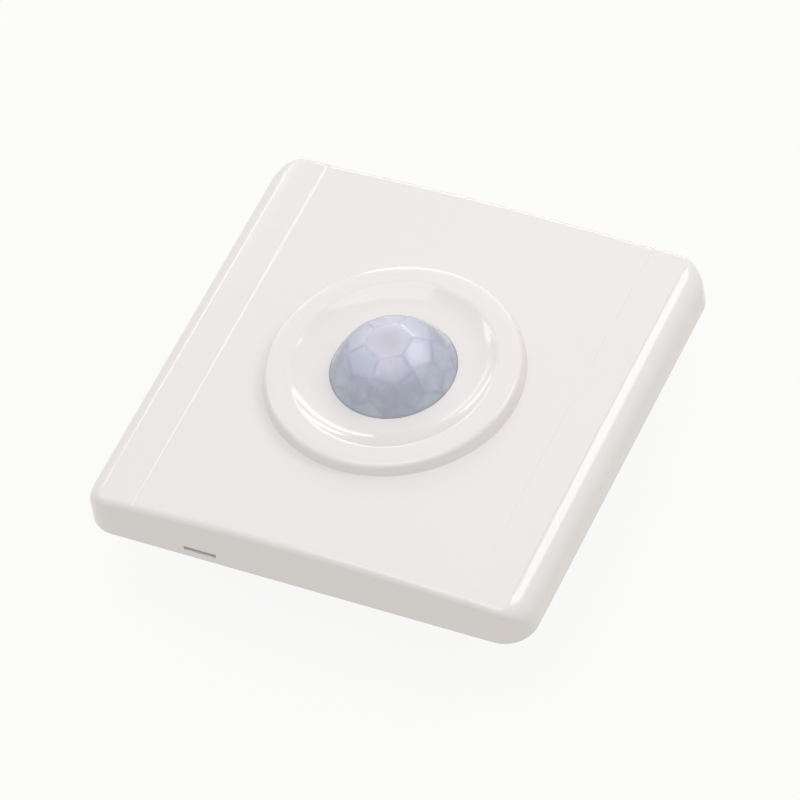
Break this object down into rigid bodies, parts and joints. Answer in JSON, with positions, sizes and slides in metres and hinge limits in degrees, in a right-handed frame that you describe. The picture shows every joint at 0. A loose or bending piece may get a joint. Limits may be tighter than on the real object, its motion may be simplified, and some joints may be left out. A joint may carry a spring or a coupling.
{
  "type": "pir motion sensor",
  "caption": "Square wall-mounted motion sensor switch with a raised ring, a dished surround and a faceted lens dome on a clip-on cover over a boxed circuit.",
  "frame": {"origin": "centre of the wall plane, midway between the two wall screws, on the back of the mounting frame", "axes": "+Z out of the wall along the lens dome's axis, +X to the right along the line of the wall screws, +Y up the wall"},
  "size_m": [0.086, 0.086, 0.0385],
  "materials": {
    "cover_plastic": "gloss moulded ABS, slightly warm white",
    "lens_plastic": "translucent moulded polyethylene, bluish white",
    "inner_plastic": "satin moulded ABS",
    "frame_plastic": "satin moulded ABS, white",
    "housing_plastic": "satin moulded ABS, off-white",
    "plated_steel": "bright zinc plating",
    "nickel_steel": "nickel plating",
    "tinned_brass": "tin plating over brass",
    "nylon": "natural nylon",
    "board_laminate": "green solder mask over glass laminate",
    "terminal_plastic": "green moulded polyamide",
    "black_plastic": "moulded epoxy",
    "can_metal": "drawn nickel-plated can",
    "filter_glass": "dark infrared filter",
    "element_ceramic": "unglazed",
    "trimmer_blue": "moulded",
    "trimmer_white": "moulded",
    "photocell_face": "coated ceramic with a clear lacquer",
    "resistor_body": "black glaze with tinned ends",
    "capacitor_sleeve": "shrunk sleeve",
    "relay_plastic": "moulded case",
    "film_yellow": "moulded case",
    "varistor_coat": "dipped epoxy",
    "fuse_plastic": "moulded case",
    "dropper_coat": "flameproof coat with colour bands"
  },
  "bodies": {
    "base": {"mounting_frame": "frame_plastic", "rear_housing": "housing_plastic", "housing_screws": "plated_steel", "board_screws": "plated_steel", "board_spacers": "nylon", "power_board": "board_laminate", "sensor_board": "board_laminate", "terminal_block": "terminal_plastic", "terminal_contacts": "tinned_brass", "pir_spacer": "black_plastic", "pir_header": "nickel_steel", "pir_can": "can_metal", "pir_window": "filter_glass", "pir_element": "element_ceramic", "time_trimmer_base": "trimmer_blue", "lux_trimmer_base": "trimmer_blue", "photocell": "photocell_face", "control_chip": "black_plastic", "control_chip_pins": "tinned_brass", "chip_resistors": "resistor_body", "filter_capacitors": "capacitor_sleeve", "link_socket": "black_plastic", "link_header": "black_plastic", "link_pins": "tinned_brass", "relay": "relay_plastic", "film_capacitor": "film_yellow", "bridge_rectifier": "black_plastic", "big_capacitor": "capacitor_sleeve", "varistor": "varistor_coat", "fuse": "fuse_plastic", "regulator": "black_plastic", "dropper_resistor": "dropper_coat"},
    "cover": {"front_cover": "cover_plastic", "fresnel_lens": "lens_plastic", "lens_retainer": "inner_plastic"},
    "time_trimmer": {"time_trimmer_rotor": "trimmer_white"},
    "lux_trimmer": {"lux_trimmer_rotor": "trimmer_white"},
    "terminal_screw_body_1": {"terminal_screw_1": "plated_steel"},
    "terminal_cage_body_1": {"terminal_cage_1": "nickel_steel"},
    "terminal_screw_body_2": {"terminal_screw_2": "plated_steel"},
    "terminal_cage_body_2": {"terminal_cage_2": "nickel_steel"},
    "terminal_screw_body_3": {"terminal_screw_3": "plated_steel"},
    "terminal_cage_body_3": {"terminal_cage_3": "nickel_steel"}
  },
  "joints": [
    {"name": "cover_lift", "type": "slide", "parent": "base", "child": "cover", "axis": [0, 0, 1], "range_m": [0, 0.025]},
    {"name": "time_turn", "type": "hinge", "parent": "base", "child": "time_trimmer", "pos_m": [-0.012, -0.0184, 0.003], "axis": [0, 0, 1], "range_deg": [-130, 130]},
    {"name": "lux_turn", "type": "hinge", "parent": "base", "child": "lux_trimmer", "pos_m": [0.012, -0.0184, 0.003], "axis": [0, 0, 1], "range_deg": [-130, 130]},
    {"name": "screw_turn_1", "type": "hinge", "parent": "base", "child": "terminal_screw_body_1", "pos_m": [-0.008, -0.0216, -0.0149], "axis": [0, 0, 1], "range_deg": [0, 2081]},
    {"name": "cage_slide_1", "type": "slide", "parent": "base", "child": "terminal_cage_body_1", "axis": [0, 0, -1], "range_m": [0, 0.0026]},
    {"name": "screw_turn_2", "type": "hinge", "parent": "base", "child": "terminal_screw_body_2", "pos_m": [0, -0.0216, -0.0149], "axis": [0, 0, 1], "range_deg": [0, 2081]},
    {"name": "cage_slide_2", "type": "slide", "parent": "base", "child": "terminal_cage_body_2", "axis": [0, 0, -1], "range_m": [0, 0.0026]},
    {"name": "screw_turn_3", "type": "hinge", "parent": "base", "child": "terminal_screw_body_3", "pos_m": [0.008, -0.0216, -0.0149], "axis": [0, 0, 1], "range_deg": [0, 2081]},
    {"name": "cage_slide_3", "type": "slide", "parent": "base", "child": "terminal_cage_body_3", "axis": [0, 0, -1], "range_m": [0, 0.0026]}
  ],
  "couplings": [
    {"joint": "screw_turn_1", "follows": "cage_slide_1", "rad_per_m": 13963},
    {"joint": "screw_turn_2", "follows": "cage_slide_2", "rad_per_m": 13963},
    {"joint": "screw_turn_3", "follows": "cage_slide_3", "rad_per_m": 13963}
  ]
}
